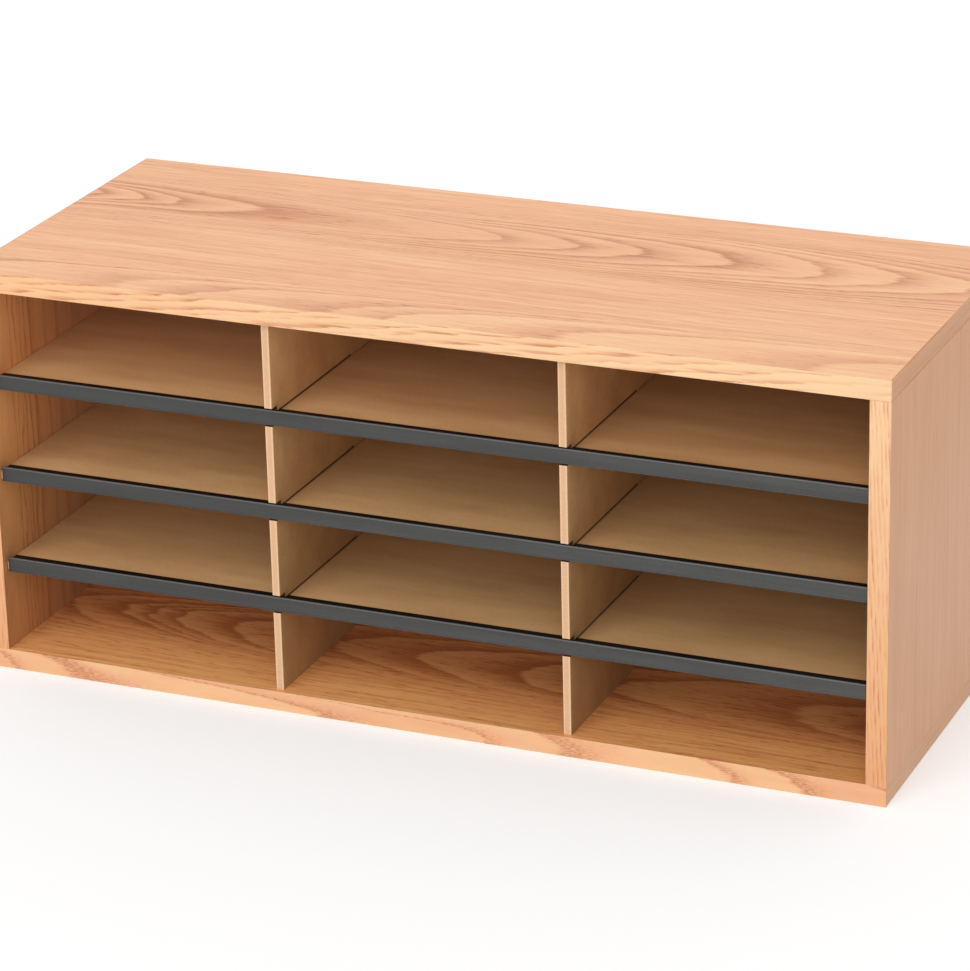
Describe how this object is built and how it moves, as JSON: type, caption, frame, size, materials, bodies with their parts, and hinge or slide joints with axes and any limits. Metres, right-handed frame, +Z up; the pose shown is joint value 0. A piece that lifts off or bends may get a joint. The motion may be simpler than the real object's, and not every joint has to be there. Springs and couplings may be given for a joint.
{
  "type": "literature organizer",
  "caption": "Low desktop cabinet in light oak laminate with rows of flat open compartments, thin dividers and pull-out shelves edged with dark plastic mouldings.",
  "frame": {"origin": "middle of the underside of the bottom board, on the surface that the cabinet stands on", "axes": "+X to the right along the front, +Y from the open front to the back sheet, +Z up"},
  "size_m": [0.7366, 0.3016, 0.3286],
  "materials": {
    "oak_laminate": "satin oak-pattern laminate over particleboard, raw board at the rear edges",
    "oak_banding": "satin oak-pattern edge strip",
    "fibreboard": "smooth, unpainted medium-density fibreboard",
    "back_hardboard": "smooth hardboard",
    "moulding_plastic": "extruded charcoal plastic with a slight sheen",
    "dowel_wood": "plain beech",
    "plated_steel": "zinc plated"
  },
  "bodies": {
    "cabinet": {"top_panel": "oak_laminate", "bottom_panel": "oak_laminate", "left_side_panel": "oak_laminate", "right_side_panel": "oak_laminate", "top_front_band": "oak_banding", "top_left_band": "oak_banding", "top_right_band": "oak_banding", "bottom_front_band": "oak_banding", "bottom_left_band": "oak_banding", "bottom_right_band": "oak_banding", "left_front_band": "oak_banding", "right_front_band": "oak_banding", "back_panel": "back_hardboard", "left_divider": "fibreboard", "right_divider": "fibreboard", "top_dowels": "dowel_wood", "bottom_dowels": "dowel_wood", "bottom_screws": "plated_steel", "back_nails": "plated_steel", "shelf_pins": "plated_steel"},
    "lower_shelf_unit": {"lower_shelf": "fibreboard", "lower_shelf_moulding": "moulding_plastic"},
    "middle_shelf_unit": {"middle_shelf": "fibreboard", "middle_shelf_moulding": "moulding_plastic"},
    "upper_shelf_unit": {"upper_shelf": "fibreboard", "upper_shelf_moulding": "moulding_plastic"}
  },
  "joints": [
    {"name": "lower_shelf_pull_out", "type": "slide", "parent": "cabinet", "child": "lower_shelf_unit", "axis": [0, -1, 0], "range_m": [0, 0.3]},
    {"name": "middle_shelf_pull_out", "type": "slide", "parent": "cabinet", "child": "middle_shelf_unit", "axis": [0, -1, 0], "range_m": [0, 0.3]},
    {"name": "upper_shelf_pull_out", "type": "slide", "parent": "cabinet", "child": "upper_shelf_unit", "axis": [0, -1, 0], "range_m": [0, 0.3]}
  ]
}
